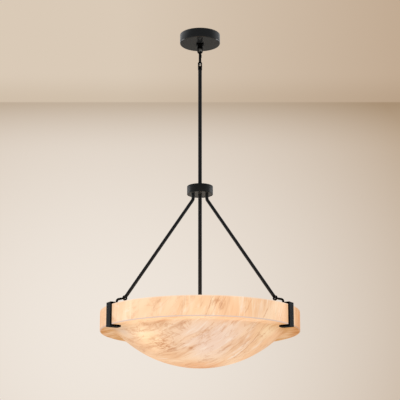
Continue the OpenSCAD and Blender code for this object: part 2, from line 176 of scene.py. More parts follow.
# %% [markdown]
# ## A finish
# Most solids need one Principled shader. Values that are the same all over go straight into its sockets,
# and patterns are linked to them. Fine relief is a bump: a height pattern with the depth that it has in
# metres.

# %% A finish with one shader
class Finish(Graph):
    """A material with one Principled shader."""

    def __init__(self, name, **constants):
        self.material = bpy.data.materials.new(name)
        self.material.use_nodes = True
        super().__init__(self.material.node_tree, "Object")
        self.shader = self.tree.nodes["Principled BSDF"]
        for socket, value in constants.items():
            self.set(socket.replace("_", " "), value)

    def set(self, socket, source):
        self.link(source, self.shader.inputs[socket])

    def bump(self, height, depth):
        node = self.add("ShaderNodeBump")
        node.inputs["Strength"].default_value = 1.0
        node.inputs["Distance"].default_value = depth
        self.link(height, node.inputs["Height"])
        self.set("Normal", node.outputs["Normal"])


print("a finish can also:", [name for name in vars(Finish) if not name.startswith("_")])

# %% [markdown]
# ## Painted shade on the brackets' edges
# The brackets are cut from flat bar, and their sawn edges are painted blacker than the rolled faces as
# painted shade. Those edges look sideways round the lamp's axis, while the faces look outward, up or
# down. The cross product of the outward direction and the surface's normal tells them apart: it points up
# on edges only.

# %% Mask for painted shade on sawn edges
def edge_shade_mask(finish):
    """1 on faces that look sideways round the lamp's axis, 0 on those that look outward, up or down."""
    flat = finish.add("ShaderNodeVectorMath", operation="MULTIPLY")
    finish.link(finish.place, flat.inputs[0])
    flat.inputs[1].default_value = (1, 1, 0)
    outward = finish.add("ShaderNodeVectorMath", operation="NORMALIZE")
    finish.link(flat.outputs["Vector"], outward.inputs[0])
    cross = finish.add("ShaderNodeVectorMath", operation="CROSS_PRODUCT")
    finish.link(outward.outputs["Vector"], cross.inputs[0])
    finish.link(finish.add("ShaderNodeTexCoord").outputs["Normal"], cross.inputs[1])
    split = finish.add("ShaderNodeSeparateXYZ")
    finish.link(cross.outputs["Vector"], split.inputs["Vector"])
    return finish.fade(finish.math("ABSOLUTE", split.outputs["Z"]), 0.75, 0.95)


print("sawn edges are found by their normal")

# %% [markdown]
# ## Black powder coat
# The canopy, link, rods, hub, arms, hooks and brackets are steel with a baked powder coat. It is a deep
# black, a little cool, with a satin sheen. Powder melts into a skin that is never quite flat, so the
# surface has a fine orange peel, about a millimetre across, and it rubs thin along edges. A pointiness
# mask finds those edges. Where the link's two crowns hang in the eyes, small near-white spots are
# painted on as painted highlights.

# %% Black coat
RUBBED_EDGE = (0.060, 0.061, 0.062, 1)
# The black of the painted shade on the brackets' sideways faces.
EDGE_SHADE_BLACK = (0.0015, 0.0016, 0.0018, 1)
# The near white of the painted highlights on the link's crowns.
GLINT_WHITE = (0.93, 0.97, 0.95, 1)


def black_coat(name, level, shine, sheen, peel, wear=0.0, glint_spots=(), edge_shade=False):
    """level is the coat's grey, set per part as painted light and shade; shine, sheen and peel are its
    reflection, roughness and relief in metres.
    """
    finish = Finish(name, Specular_IOR_Level=shine)
    cloud = finish.noise(14.0, 2.0)
    grain = finish.noise(620.0, 4.0, 0.6)
    darker = (level * 0.80, level * 0.88, level * 0.98, 1)
    lighter = (level * 1.08, level * 1.22, level * 1.36, 1)
    colour = finish.mix(cloud, darker, lighter)
    if wear:
        edge = finish.fade(finish.add("ShaderNodeNewGeometry").outputs["Pointiness"], 0.56, 0.66)
        rubbed = finish.times(edge, finish.fade(finish.noise(160.0, 3.0), 0.42, 0.62), wear)
        colour = finish.mix(rubbed, colour, RUBBED_EDGE)
    if edge_shade:
        # Painted shade: the brackets' sideways faces are painted near black.
        colour = finish.mix(edge_shade_mask(finish), colour, EDGE_SHADE_BLACK)
    uneven = finish.plus(cloud, finish.times(grain, 0.6))
    roughness = finish.fade(uneven, 0.4, 1.2, sheen - 0.04, sheen + 0.08, soft=False)
    # Painted highlights: near-white spots, a little metallic and rougher, painted on the link's crowns as
    # glints.
    if glint_spots:
        glint = 0.0
        for centre, size in glint_spots:
            glint = finish.math("MAXIMUM", glint, finish.near(centre, size, 0.4))
        glint = finish.times(glint, finish.fade(finish.noise(900.0, 3.0), 0.18, 0.36))
        finish.set("Metallic", finish.times(glint, 0.15))
        colour = finish.mix(glint, colour, GLINT_WHITE)
        roughness = finish.plus(roughness, finish.times(glint, 0.15))
    finish.set("Base Color", colour)
    finish.set("Roughness", roughness)
    finish.bump(finish.noise(850.0, 2.0, 0.4), peel)
    return finish.material


# Places and sizes of the painted highlights on the link's crowns.
LINK_CROWN_GLINTS = (((0.0015, -0.0045, -0.0535), 0.0060), ((0.0, -0.0045, -0.1015), 0.0050))
# The coat's grey differs from part to part as painted light and shade: lightest on the hub plate, then
# the rods, hub cup, canopy and bars, and near black on the link, its eyes, sleeve and nuts, and the
# hooks.
coat_cup = black_coat("black_coat_sheet", 0.046, shine=0.12, sheen=0.36, peel=3e-5, wear=0.8)
coat_canopy = black_coat("black_coat_canopy", 0.040, shine=0.55, sheen=0.13, peel=8e-6, wear=0.8)
coat_plate = black_coat("black_coat_plate", 0.085, shine=1.00, sheen=0.10, peel=8e-6, wear=0.8)
coat_bar = black_coat("black_coat_bar", 0.034, shine=0.015, sheen=0.50, peel=5e-5, wear=0.5, edge_shade=True)
coat_rod = black_coat("black_coat_rod", 0.054, shine=0.05, sheen=0.40, peel=2e-5)
coat_link = black_coat("black_coat_link", 0.003, shine=0.10, sheen=0.26, peel=2e-5, glint_spots=LINK_CROWN_GLINTS)
coat_hook = black_coat("black_coat_hook", 0.004, shine=0.08, sheen=0.30, peel=2e-5)
print("seven black coats: hub cup, glossy canopy, hub plate, flat bar, rods, link and hooks")

# %% [markdown]
# ## Plated steel hardware
# Crossbar, nipple, nuts and the lamp hub are zinc plated. Zinc has fine drawn lines, cloudy spangles and
# a very faint yellow and blue tint. They hide above the canopy and inside the bowl, and show in the views
# from above. The bulb caps have the same structure in smoother nickel.

# %% Zinc and nickel plate
SPANGLE_GREY = (0.35, 0.35, 0.37, 1)


def plated_steel(name, tint, roughness):
    finish = Finish(name, Metallic=1.0, Specular_IOR_Level=0.5)
    spangle = finish.add("ShaderNodeTexVoronoi")
    spangle.inputs["Scale"].default_value = 220.0
    finish.link(finish.place, spangle.inputs["Vector"])
    drawn_out = finish.add("ShaderNodeMapping")
    drawn_out.inputs["Scale"].default_value = (0.12, 6.0, 6.0)
    finish.link(finish.place, drawn_out.inputs["Vector"])
    drawn = finish.noise(90.0, 3.0, 0.6, 0.0, drawn_out.outputs["Vector"])
    cloud = finish.fade(finish.noise(40.0, 3.0), 0.35, 0.65)
    plate = finish.mix(cloud, (tint[0] * 0.88, tint[1] * 0.9, tint[2] * 0.96, 1), (*tint, 1))
    spangle_edge = spangle.outputs["Distance"]
    finish.set("Base Color", finish.mix(finish.times(spangle_edge, 0.25), plate, SPANGLE_GREY))
    finish.set("Roughness", finish.fade(drawn, 0.3, 0.7, roughness - 0.06, roughness + 0.12, soft=False))
    finish.bump(finish.plus(drawn, finish.times(spangle_edge, 0.3)), 4e-5)
    return finish.material


zinc = plated_steel("zinc_plate", (0.66, 0.65, 0.62), 0.34)
cap_metal = plated_steel("nickel_cap", (0.74, 0.73, 0.70), 0.24)
print("plated finishes:", zinc.name, cap_metal.name)

# %% [markdown]
# ## Glazed ceramic
# The lamp holders are glazed white ceramic, which stands the heat of a bulb: slightly warm, with tiny
# dark specks, and a gloss glaze that pools unevenly. A coat over the shader gives the glaze its second
# reflection.

# %% Ceramic
def glazed_ceramic():
    finish = Finish("glazed_ceramic", Coat_Weight=0.6, Coat_Roughness=0.05, Specular_IOR_Level=0.5)
    pool = finish.noise(55.0, 2.0)
    speck = finish.fade(finish.noise(900.0, 1.0), 0.70, 0.76)
    glaze = finish.mix(pool, srgb(232, 229, 218), srgb(245, 243, 236))
    finish.set("Base Color", finish.mix(finish.times(speck, 0.5), glaze, srgb(150, 140, 122)))
    finish.set("Roughness", finish.fade(pool, 0.3, 0.7, 0.12, 0.24, soft=False))
    finish.bump(pool, 3e-4)
    return finish.material


ceramic = glazed_ceramic()
print("finish:", ceramic.name)

# %% [markdown]
# ## Rubber and the earth screw
# The liners in the brackets are matt rubber that keeps steel off the stone. The earth screw has a green
# dip coat that marks it. Both have an uneven colour, an uneven roughness and a fine relief.

# %% Rubber and green dip
def liner_rubber():
    finish = Finish("liner_rubber", Specular_IOR_Level=0.3)
    dust = finish.noise(300.0, 5.0, 0.7)
    finish.set("Base Color", finish.mix(dust, srgb(26, 25, 25), srgb(52, 50, 48)))
    finish.set("Roughness", finish.fade(dust, 0.3, 0.7, 0.72, 0.92, soft=False))
    finish.bump(finish.noise(1400.0, 2.0), 8e-5)
    return finish.material


def green_dip():
    finish = Finish("green_dip", Metallic=0.35, Specular_IOR_Level=0.5)
    run = finish.noise(260.0, 3.0)
    finish.set("Base Color", finish.mix(run, srgb(24, 92, 52), srgb(58, 138, 84)))
    finish.set("Roughness", finish.fade(run, 0.3, 0.7, 0.25, 0.5, soft=False))
    finish.bump(run, 6e-5)
    return finish.material


rubber = liner_rubber()
green = green_dip()
print("finishes:", rubber.name, green.name)

# %% [markdown]
# ## Dressing the CAD nodes
# The solids whose shape is right stay as they are. Real sheet and bar never have knife edges: a deburred
# edge is rounded by a few tenths of a millimetre, and that rounding catches the light. A Weld modifier
# joins the seams of the imported mesh, and a Bevel modifier with an angle limit rounds only the sharp
# edges.

# %% Give a node its finish and soft edges
SEAM = 2e-5
SHARP = math.radians(38)


def dress(name, material, edge_mm=0.0, segments=2):
    piece = nodes[name]
    piece.data.materials.clear()
    piece.data.materials.append(material)
    if edge_mm:
        weld = piece.modifiers.new("join seams", "WELD")
        weld.merge_threshold = SEAM
        soften = piece.modifiers.new("soft edges", "BEVEL")
        soften.width = edge_mm / 1000
        soften.segments = segments
        soften.limit_method = "ANGLE"
        soften.angle_limit = SHARP
        soften.use_clamp_overlap = True
        soften.harden_normals = True


dress("canopy", coat_canopy, 0.4)
dress("hub_cup", coat_cup, 0.4)
dress("hub_plate", coat_plate, 0.4)
for name in ("canopy_loop", "ring_nut", "link_sleeve", "rod_eye", "hook_nuts"):
    dress(name, coat_link, 0.25)
dress("link", coat_link)
for name in ("down_rod", "stem"):
    dress(name, coat_rod)
for side in ARMS:
    dress("bracket_" + side, coat_bar, 0.5, 3)
    dress("arm_" + side, coat_rod)
    for part in ("arm_eye_", "hook_"):
        dress(part + side, coat_hook)
for name in ("crossbar", "lock_nut", "hub_core", "arm_nuts", "stem_nut", "lamp_hub"):
    dress(name, zinc, 0.3)
dress("nipple", zinc)
dress("ground_screw", green, 0.2)
dress("bracket_liners", rubber, 0.2)
for side in LAMPS:
    dress("holder_" + side, ceramic, 0.8, 3)
print("dressed", sum(len(n.modifiers) > 0 for n in nodes.values()), "nodes with soft edges")

# %% [markdown]
# ## Spinning a profile
# Bowl, bulb glass and caps are all turned shapes. Each is drawn as a list of points, radius and height,
# and spun about an axis into a mesh of quads with smooth shading. Arcs are laid out finely, so the
# outline stays round close up, which is why these pieces replace their CAD nodes in the render.

# %% Spin helpers
def arc_points(centre, radius, start, end, steps):
    """Points along an arc in the profile's plane; angles in degrees from the radius direction."""
    angles = [math.radians(start + (end - start) * i / steps) for i in range(steps + 1)]
    return [(centre[0] + radius * math.cos(a), centre[1] + radius * math.sin(a)) for a in angles]


def spin(name, profile, around, shape=None):
    """Spins (radius, height) points about Z; shape(radius, height, turn) may move each point."""
    mesh = bmesh.new()
    rings = []
    for i in range(around):
        turn = 2 * math.pi * i / around
        ring = []
        for radius, height in profile:
            if shape:
                radius, height = shape(radius, height, turn)
            ring.append(mesh.verts.new((radius * math.cos(turn), radius * math.sin(turn), height)))
        rings.append(ring)
    for i in range(around):
        here, there = rings[i], rings[(i + 1) % around]
        for j in range(len(profile) - 1):
            mesh.faces.new((here[j], there[j], there[j + 1], here[j + 1]))
    bmesh.ops.remove_doubles(mesh, verts=mesh.verts, dist=1e-6)
    bmesh.ops.recalc_face_normals(mesh, faces=mesh.faces)
    for face in mesh.faces:
        face.smooth = True
    data = bpy.data.meshes.new(name)
    mesh.to_mesh(data)
    mesh.free()
    piece = bpy.data.objects.new(name, data)
    bpy.context.scene.collection.objects.link(piece)
    return piece


print("an arc of 4 steps:", [tuple(round(c, 2) for c in p) for p in arc_points((0, 0), 1, 0, 90, 4)])

# %% [markdown]
# ## The stone bowl
# The bowl is turned from a stone slab: a shallow dome, a hollow flare that runs into a flat ledge, and an
# upright band with rounded edges. The wall is 9 mm thick all over. The same arcs as in the CAD model are
# laid out with many more points. Hand finishing leaves the surface wavy by a tenth of a millimetre or so,
# which breaks up the reflections, so each point is moved by two waves that run round the bowl, a slow one
# and a quicker one.

# %% Bowl profile
BOWL_R = 0.301
WALL = 0.009
BAND_H = 0.060
DEPTH = 0.1053
LEDGE = 0.038
FLARE_R = 0.030
EDGE_R = 0.0025
LIP_R = 0.0012
flare_x = BOWL_R - LEDGE
dome_r = (flare_x ** 2 + DEPTH ** 2) / (2 * DEPTH) - FLARE_R
dome_z = dome_r - DEPTH
meet = math.degrees(math.atan2(-FLARE_R - dome_z, flare_x))


def bowl_profile():
    outside = arc_points((0, dome_z), dome_r, -90, meet, 44)
    outside += arc_points((flare_x, -FLARE_R), FLARE_R, meet + 180, 90, 12)[1:]
    outside += [(flare_x + (BOWL_R - EDGE_R - flare_x) * i / 6, 0.0) for i in range(1, 6)]
    outside += arc_points((BOWL_R - EDGE_R, EDGE_R), EDGE_R, -90, 0, 7)
    outside += [(BOWL_R, EDGE_R + (BAND_H - 2 * EDGE_R) * i / 10) for i in range(1, 10)]
    outside += arc_points((BOWL_R - EDGE_R, BAND_H - EDGE_R), EDGE_R, 0, 90, 7)
    inner = BOWL_R - WALL
    inside = arc_points((inner + LIP_R, BAND_H - LIP_R), LIP_R, 90, 180, 4)
    inside += [(inner, WALL + (BAND_H - LIP_R - WALL) * (1 - i / 8)) for i in range(1, 9)]
    inside += [(flare_x + (inner - flare_x) * (1 - i / 4), WALL) for i in range(1, 4)]
    inside += arc_points((flare_x, -FLARE_R), FLARE_R + WALL, 90, meet + 180, 12)
    inside += arc_points((0, dome_z), dome_r - WALL, meet, -90, 40)[1:]
    return [(max(r, 0.0), z + BAND_LOW) for r, z in outside + inside]


print("bowl profile:", len(bowl_profile()), "points; dome radius", round(dome_r, 4))

# %% Bowl mesh
SLOW_WAVE = 0.00010
QUICK_WAVE = 0.00007
CALM_REACH = 0.15


def hand_worked(radius, height, turn):
    """Takes off a wavy tenth of a millimetre, and less towards the middle, where the waves would meet."""
    slow = SLOW_WAVE * math.sin(3 * turn + 0.7)
    quick = QUICK_WAVE * math.sin(7 * turn + 2.1 + 30 * height)
    share = min(1.0, radius / CALM_REACH)
    return radius - abs(slow + quick) * share, height


bowl = spin("stone_bowl", bowl_profile(), 288, hand_worked)
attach(bowl, "pendant")
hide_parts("bowl")
print("bowl:", len(bowl.data.polygons), "faces")

# %% [markdown]
# ## Places on the bowl
# Marks in the stone are placed the way a mason would measure them. A place on the band is a turn from the
# front, in degrees towards the right, and a height over the band's lower edge. A place underneath is the
# same turn and a reach out from the bowl's axis, and the dome's or the flare's arc gives its height.

# %% Places on the band and underneath
def on_the_band(turn, height):
    angle = math.radians(turn)
    return Vector((BOWL_R * math.sin(angle), -BOWL_R * math.cos(angle), BAND_LOW + height))


def underneath(turn, reach):
    if reach < flare_x * dome_r / (dome_r + FLARE_R):
        height = dome_z - math.sqrt(dome_r ** 2 - reach ** 2)
    else:
        height = math.sqrt(FLARE_R ** 2 - max(0.0, flare_x - reach) ** 2) - FLARE_R
    angle = math.radians(turn)
    return Vector((reach * math.sin(angle), -reach * math.cos(angle), BAND_LOW + height))


print("the dome's lowest point:", tuple(round(c, 4) for c in underneath(0, 0)))

# %% [markdown]
# ## Beds of the stone
# Alabaster grows in beds, thin sheets that lie side by side. A saw cuts the slab at a slant to them, so
# clouds, smoke and threads are long in one direction and run on from the band into the dome. Noise read
# in coordinates that are squeezed along the beds has just that look, on every side and at its real scale.

# %% Coordinates along and across the beds
ACROSS_BEDS = Vector((0.735, 0.623, -0.266)).normalized()
UP_BEDS = Vector((0.34, 0.0, 0.94)).normalized()
OUT_BEDS = ACROSS_BEDS.cross(UP_BEDS)


def bedded(finish, squeeze):
    """Object coordinates whose axes follow the beds; a small factor draws the pattern out along them."""
    place = finish.add("ShaderNodeCombineXYZ")
    finish.link(finish.along(ACROSS_BEDS), place.inputs["X"])
    finish.link(finish.times(finish.along(UP_BEDS), squeeze), place.inputs["Y"])
    finish.link(finish.times(finish.along(OUT_BEDS), squeeze), place.inputs["Z"])
    return place.outputs["Vector"]


print("the beds lie square to", tuple(round(c, 3) for c in ACROSS_BEDS))

# %% [markdown]
# ## Lit alabaster: patterns
# Lit from inside, the stone glows peach and cream, its clouds turn paler, and the veins stay dark because
# they hold the light back. Real scattering through 9 mm of stone would be slow and noisy, so the glow is
# part of the shader: one pattern feeds both the surface colour and an emission, and the studio light does
# the rest. The finish keeps one colour that every layer paints over. First come the patterns that several
# layers share, from slow drifts to fine threads. A polished stone has a soft gloss, so the reflection is
# kept weak.

# %% Stone finish and its patterns
class Stone(Finish):
    """A finish whose colour is painted over layer by layer."""

    colour = None

    def paint(self, mask, colour, tone=1.0, blend="MIX"):
        share = self.times(mask, tone) if tone < 1.0 else mask
        self.colour = self.mix(share, self.colour, colour, blend)


stone = Stone("lit_alabaster", Specular_IOR_Level=0.09)
cloud = stone.noise(8.0, 3.0, 0.5, 0.5, bedded(stone, 0.50))
drift = stone.noise(16.0, 4.0, 0.55, 0.9, bedded(stone, 0.30))
smoke = stone.noise(38.0, 6.0, 0.66, 0.9, bedded(stone, 0.20))
thread = stone.noise(120.0, 4.0, 0.62, 0.5, bedded(stone, 0.10))
speckle = stone.noise(150.0, 3.0, 0.6)
print("patterns:", len(stone.tree.nodes), "nodes")

# %% [markdown]
# ## Lit alabaster: parts of the bowl
# Band, ledge, dome and edges take the light in different ways. Masks for them come from three measures of
# a point: its rise over the band's lower edge, its reach from the axis, and how far it lies forward.

# %% Masks for parts of the bowl
rise = stone.minus(stone.along((0, 0, 1)), BAND_LOW)
east = stone.along((1, 0, 0))
north = stone.along((0, 1, 0))
reach = stone.math("SQRT", stone.plus(stone.times(east, east), stone.times(north, north)))
forward = stone.times(north, -1.0)
on_dome = stone.fade(rise, -0.003, 0.002, 1.0, 0.0)
on_band = stone.minus(1.0, on_dome)
under = stone.times(stone.fade(rise, 0.0028, 0.0008), stone.fade(reach, BOWL_R - 0.0020, BOWL_R - 0.0035))
on_ledge = stone.times(under, stone.fade(reach, flare_x - 0.031, flare_x - 0.001))
to_front = stone.fade(forward, 0.10, 0.24)
print("with masks:", len(stone.tree.nodes), "nodes")

# %% [markdown]
# ## Lit alabaster: clouds
# The ground drifts between peach and cream. Three cream patches are brighter, one left of the dome's
# middle, one along the front and one on the right, and a rosy veil lies over the front of the dome.

# %% Clouds and veil
PEACH = srgb(246, 197, 153)
CREAM = srgb(255, 219, 182)
BRIGHT_CREAM = srgb(255, 222, 179)
ROSE = srgb(243, 214, 194)
CREAM_PATCHES = (
    (underneath(-47, 0.205), 0.066, 0.95),
    (underneath(0, 0.262), 0.090, 0.45),
    (underneath(57, 0.235), 0.062, 0.75),
)
stone.colour = stone.mix(stone.fade(cloud, 0.36, 0.64), PEACH, CREAM)
for centre, size, tone in CREAM_PATCHES:
    stone.paint(stone.near(centre, size, 0.9), BRIGHT_CREAM, tone)
veil = stone.times(stone.near(underneath(10, 0.190), 0.150, 0.8), stone.fade(drift, 0.24, 0.58))
stone.paint(veil, ROSE, 0.85)
print("with clouds:", len(stone.tree.nodes), "nodes")

# %% [markdown]
# ## Lit alabaster: smoke, threads and frost
# Clay between the beds shows as brown smoke, which is dense where the drift is thin and weaker on the
# band. Finer threads run through it. Where clean crystal comes to the surface, pale frosty strokes lie
# between them.

# %% Smoke, threads and frost
dense = stone.fade(drift, 0.62, 0.36, 0.15, 1.0)
strokes = stone.times(stone.fade(smoke, 0.47, 0.66), dense, stone.fade(on_dome, 0.0, 1.0, 0.45, 0.85))
stone.paint(strokes, srgb(222, 168, 125), 0.85)
threads = stone.times(stone.fade(thread, 0.50, 0.72), stone.fade(smoke, 0.38, 0.58))
stone.paint(threads, srgb(210, 155, 114), 0.48)
crystal = stone.noise(64.0, 4.0, 0.6, 0.6, bedded(stone, 0.16))
frost = stone.times(stone.fade(crystal, 0.53, 0.68), stone.fade(drift, 0.40, 0.60))
stone.paint(frost, srgb(255, 236, 216), 0.55)
print("with smoke and frost:", len(stone.tree.nodes), "nodes")

# %% [markdown]
# ## Lit alabaster: creases
# Old folds in the beds leave thin, winding, broken lines. A noise passes through its middle value along
# such lines, so a narrow band about that value, on the smoky parts only, draws them.

# %% Creases
fold = stone.noise(17.0, 5.0, 0.58, 1.1, bedded(stone, 0.40))
line = stone.fade(stone.math("ABSOLUTE", stone.minus(fold, 0.5)), 0.0, 0.022, 1.0, 0.0)
crease = stone.times(line, stone.fade(smoke, 0.38, 0.56), stone.fade(on_dome, 0.0, 1.0, 0.22, 0.50))
stone.paint(crease, srgb(206, 150, 110))
print("with creases:", len(stone.tree.nodes), "nodes")

# %% [markdown]
# ## Lit alabaster: the band's streaks
# The band is ground upright, and the light inside shows faint upright streaks, some paler and some
# darker. Noise that is drawn out in height gives both from its two ends.

# %% Upright streaks on the band
upright = stone.add("ShaderNodeMapping")
upright.inputs["Scale"].default_value = (1.0, 1.0, 0.07)
stone.link(stone.place, upright.inputs["Vector"])
streak = stone.noise(44.0, 4.0, 0.6, 0.2, upright.outputs["Vector"])
stone.paint(stone.times(stone.fade(streak, 0.54, 0.68, 0.0, 0.55), on_band), srgb(255, 231, 197))
stone.paint(stone.times(stone.fade(streak, 0.44, 0.32, 0.0, 0.35), on_band), srgb(243, 193, 150))
print("with streaks:", len(stone.tree.nodes), "nodes")

# %% [markdown]
# ## Lit alabaster: stained spots
# Water has carried rust into some places and left brown, broken patches. Each row gives a place, a size
# in metres and how strong the stain is, and one noise breaks them all up.

# %% Stains
STAINS = (
    (underneath(-36.5, 0.172), 0.066, 0.90),
    (underneath(-9.0, 0.156), 0.013, 1.0),
    (underneath(-15.5, 0.171), 0.016, 0.60),
    (underneath(-59.0, 0.233), 0.036, 0.55),
    (underneath(-39.5, 0.245), 0.022, 0.60),
    (underneath(7.5, 0.116), 0.020, 0.45),
    (on_the_band(9.5, 0.034), 0.034, 0.75),
)
patchy = stone.fade(stone.noise(80.0, 5.0, 0.7, 0.9, bedded(stone, 0.35)), 0.45, 0.60)
for centre, size, tone in STAINS:
    stone.paint(stone.times(stone.near(centre, size, 0.9), patchy), srgb(202, 142, 100), tone)
print("with stains:", len(stone.tree.nodes), "nodes")

# %% [markdown]
# ## Lit alabaster: veins
# A vein is a thin crack that iron has stained brown. Its sheet stands square to the surface and cuts it
# along a line, so each one is laid through two places on the bowl, bent a little by noise, and kept to
# its own length. Most run slantwise over the band and down the right of the dome, as in the photograph.
# Each row gives the two places, the width in metres and how dark the vein is.

# %% The list of veins
VEINS = (
    (on_the_band(3.0, 0.002), on_the_band(7.0, 0.055), 0.0024, 0.70),
    (on_the_band(5.5, 0.004), on_the_band(10.5, 0.055), 0.0018, 0.50),
    (on_the_band(10.0, 0.019), on_the_band(14.0, 0.056), 0.0018, 0.45),
    (on_the_band(-10.0, 0.004), on_the_band(-8.5, 0.057), 0.0060, 0.30),
    (on_the_band(25.0, 0.014), on_the_band(29.0, 0.058), 0.0022, 0.55),
    (on_the_band(36.0, 0.005), on_the_band(43.0, 0.057), 0.0028, 0.55),
    (on_the_band(-54.0, 0.004), on_the_band(-51.5, 0.057), 0.0016, 0.50),
    (underneath(-32.0, 0.210), underneath(-8.0, 0.250), 0.0110, 0.62),
    (underneath(-18.5, 0.187), underneath(2.5, 0.230), 0.0030, 0.30),
    (underneath(54.5, 0.116), underneath(52.0, 0.195), 0.0042, 0.60),
    (underneath(52.0, 0.195), underneath(47.5, 0.264), 0.0036, 0.60),
    (underneath(61.0, 0.128), underneath(57.0, 0.198), 0.0028, 0.45),
    (underneath(36.0, 0.111), underneath(41.5, 0.174), 0.0022, 0.28),
    (underneath(-63.0, 0.129), underneath(-27.5, 0.091), 0.0026, 0.40),
    (underneath(-18.0, 0.029), underneath(48.5, 0.090), 0.0026, 0.30),
    (underneath(-57.5, 0.235), underneath(-39.0, 0.231), 0.0040, 0.40),
)
longest = max((end - start).length for start, end, width, tone in VEINS)
print(len(VEINS), "veins; the longest is", round(longest, 3), "m")

# %% Paint the veins
DOME_CENTRE = Vector((0, 0, BAND_LOW + dome_z))
VEIN_BEND = 0.022
wander = stone.noise(16.0, 4.0, 0.55, 0.3)
broken = stone.fade(stone.noise(30.0, 4.0, 0.6), 0.34, 0.54, 0.15, 1.0)


def vein(start, end, width):
    """A mask that is 1 along a vein between two places on the bowl's outside."""
    middle = (start + end) / 2
    outward = Vector((middle.x, middle.y, 0)) if middle.z > BAND_LOW else middle - DOME_CENTRE
    normal = (end - start).cross(outward).normalized()
    sheet = stone.minus(stone.along(normal), start.dot(normal))
    bent = stone.plus(sheet, stone.times(stone.minus(wander, 0.5), VEIN_BEND))
    crack = stone.fade(stone.math("ABSOLUTE", bent), 0.0, width, 1.0, 0.0)
    kept = stone.near(middle, (end - start).length * 0.66, 0.35)
    return stone.times(crack, kept, broken)


for start, end, width, tone in VEINS:
    stone.paint(vein(start, end, width), srgb(204, 147, 106), tone)
print("with veins:", len(stone.tree.nodes), "nodes")

# %% [markdown]
# ## Lit alabaster: ledge and edges
# The ledge is lit from one side only, so painted shade turns it honey coloured at the sides and the back,
# and a little deeper at the front. The hollow under the flare is shaded there too. The band's rounded
# lower edge carries a painted reflection, a pale, rosy grey, and so does the outer edge of the rim on
# top.

# %% Ledge, hollow and edges
hips = stone.times(on_ledge, stone.minus(1.0, to_front))
stone.paint(stone.times(hips, stone.fade(smoke, 0.36, 0.60, 0.45, 1.0)), srgb(212, 156, 98))
# Painted shade: the front of the ledge a little deeper in colour.
stone.paint(stone.times(on_ledge, to_front), (0.98, 0.90, 0.82, 1), blend="MULTIPLY")
outer_hollow = stone.fade(reach, flare_x + 0.005, flare_x - 0.019)
hollow = stone.times(stone.fade(reach, flare_x - 0.058, flare_x - 0.025), outer_hollow)
to_flanks = stone.times(under, stone.fade(forward, 0.090, 0.020))
stone.paint(stone.times(hollow, to_flanks), (0.90, 0.81, 0.70, 1), blend="MULTIPLY")
# Painted reflection, a pale rosy grey, on the band's rounded lower edge.
near_low_edge = stone.fade(rise, 0.0038, 0.0024)
low_edge_reflection = stone.times(stone.fade(reach, BOWL_R - 0.0028, BOWL_R - 0.0018), near_low_edge)
stone.paint(low_edge_reflection, srgb(214, 192, 182), 0.8)
# Painted reflection on the outer edge of the rim on top.
near_rim = stone.fade(rise, BAND_H - 0.0040, BAND_H - 0.0022)
rim_reflection = stone.times(stone.fade(reach, BOWL_R - 0.0045, BOWL_R - 0.0025), near_rim)
stone.paint(rim_reflection, srgb(240, 220, 202), 0.5)
print("with edges:", len(stone.tree.nodes), "nodes")

# %% [markdown]
# ## Lit alabaster: ends, tip and ash
# Light has a long way to the bowl's right and left ends, so painted shade makes them deeper in colour,
# more so on the right. The tip lies under the lamp hub, and painted shade makes it a little deeper too. A
# pale, ashen cloud covers the left flank.

# %% Ends, tip and ash
ALL_BAND = 1.0
SOME_DOME = 0.3
# Painted shade: the right and left ends deeper in colour, more on the right, over all the band and some
# of the dome.
for side, tint in ((1, (0.81, 0.61, 0.41, 1)), (-1, (0.95, 0.84, 0.75, 1))):
    to_end = stone.fade(stone.times(east, side), BOWL_R - 0.039, BOWL_R - 0.011)
    end = stone.times(to_end, stone.fade(on_dome, 0.0, 1.0, ALL_BAND, SOME_DOME))
    stone.paint(end, tint, blend="MULTIPLY")
# Painted shade: the tip under the lamp hub a little deeper.
stone.paint(stone.near(underneath(0, 0), 0.10, 0.8), (0.95, 0.80, 0.70, 1), blend="MULTIPLY")
ash = stone.times(stone.near(underneath(-70, 0.250), 0.060, 0.9), stone.fade(drift, 0.30, 0.60))
stone.paint(ash, srgb(226, 196, 172), 0.7)
print("with ends:", len(stone.tree.nodes), "nodes")

# %% [markdown]
# ## Lit alabaster: glow
# The glow is a level that says how much light comes through. It is stronger near the three lamps, on the
# front and in the left cream patch, and weaker where the lamps are far, out on the flanks and on the
# band's right, and in the shade of the lamp hub behind the middle. Each row gives a place, a size and a
# change of level.

# %% Glow
LAMP_REACH = 0.12
LAMP_LIGHT_Z = -1.0
GLOW_CHANGES = [
    (underneath(-47, 0.205), 0.10, 0.20),
    (on_the_band(38, 0.029), 0.11, -0.14),
    (underneath(180, 0.050), 0.11, -0.14),
]
for turn in LAMPS.values():
    angle = math.radians(turn)
    lamp_place = (LAMP_REACH * math.cos(angle), LAMP_REACH * math.sin(angle), LAMP_LIGHT_Z)
    GLOW_CHANGES.append((lamp_place, 0.20, 0.06))
glow = 0.96
for centre, size, change in GLOW_CHANGES:
    glow = stone.plus(glow, stone.times(stone.near(centre, size, 0.9), change))
for part, change in ((on_ledge, 0.05), (on_band, 0.20), (on_dome, 0.045)):
    glow = stone.plus(glow, stone.times(part, to_front, change))
for turn in (-90, 90):
    flank = stone.times(stone.near(underneath(turn, 0.200), 0.075, 0.9), on_dome)
    glow = stone.minus(glow, stone.times(flank, 0.10))
print("with glow:", len(stone.tree.nodes), "nodes")

# %% [markdown]
# ## Lit alabaster: the shader
# The painted colour times the glow is the emission. The same colour, much darker, is the surface's own,
# since most of the light that falls on the stone goes into it. Roughness and relief follow the crystals.

